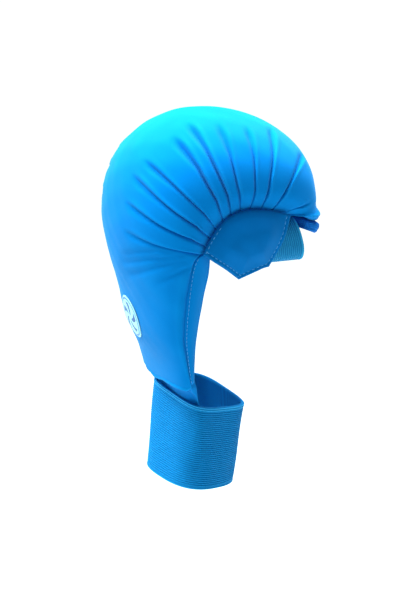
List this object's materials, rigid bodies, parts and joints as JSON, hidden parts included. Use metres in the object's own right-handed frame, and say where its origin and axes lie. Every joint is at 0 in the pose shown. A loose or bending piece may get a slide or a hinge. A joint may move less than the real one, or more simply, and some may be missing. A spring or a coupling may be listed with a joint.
{
  "type": "padded karate mitt",
  "caption": "Padded mitt shaped round a half-closed left hand, with a gathered dome over the knuckles, a thumb guard with an elastic loop and a wide elastic wrist cuff.",
  "frame": {"origin": "middle of the wrist, inside the cuff", "axes": "+Z from the wrist to the knuckles, +X to the palm side, -Y to the thumb side"},
  "size_m": [0.1448, 0.1207, 0.2644],
  "materials": {
    "cover_leather": "smooth satin synthetic leather, bright blue",
    "guard_leather": "satin synthetic leather, a darker blue",
    "rib_elastic": "finely ribbed woven elastic, blue",
    "lining": "matt knitted lining, dark blue",
    "badge_print": "pale printed film"
  },
  "bodies": {
    "root": {"padded_shell": "cover_leather", "thumb_side_gusset": "guard_leather", "outer_side_gusset": "guard_leather", "thumb_guard": "guard_leather", "thumb_loop": "rib_elastic", "finger_sleeve": "lining", "wrist_cuff": "rib_elastic", "back_badge": "badge_print"}
  },
  "joints": []
}
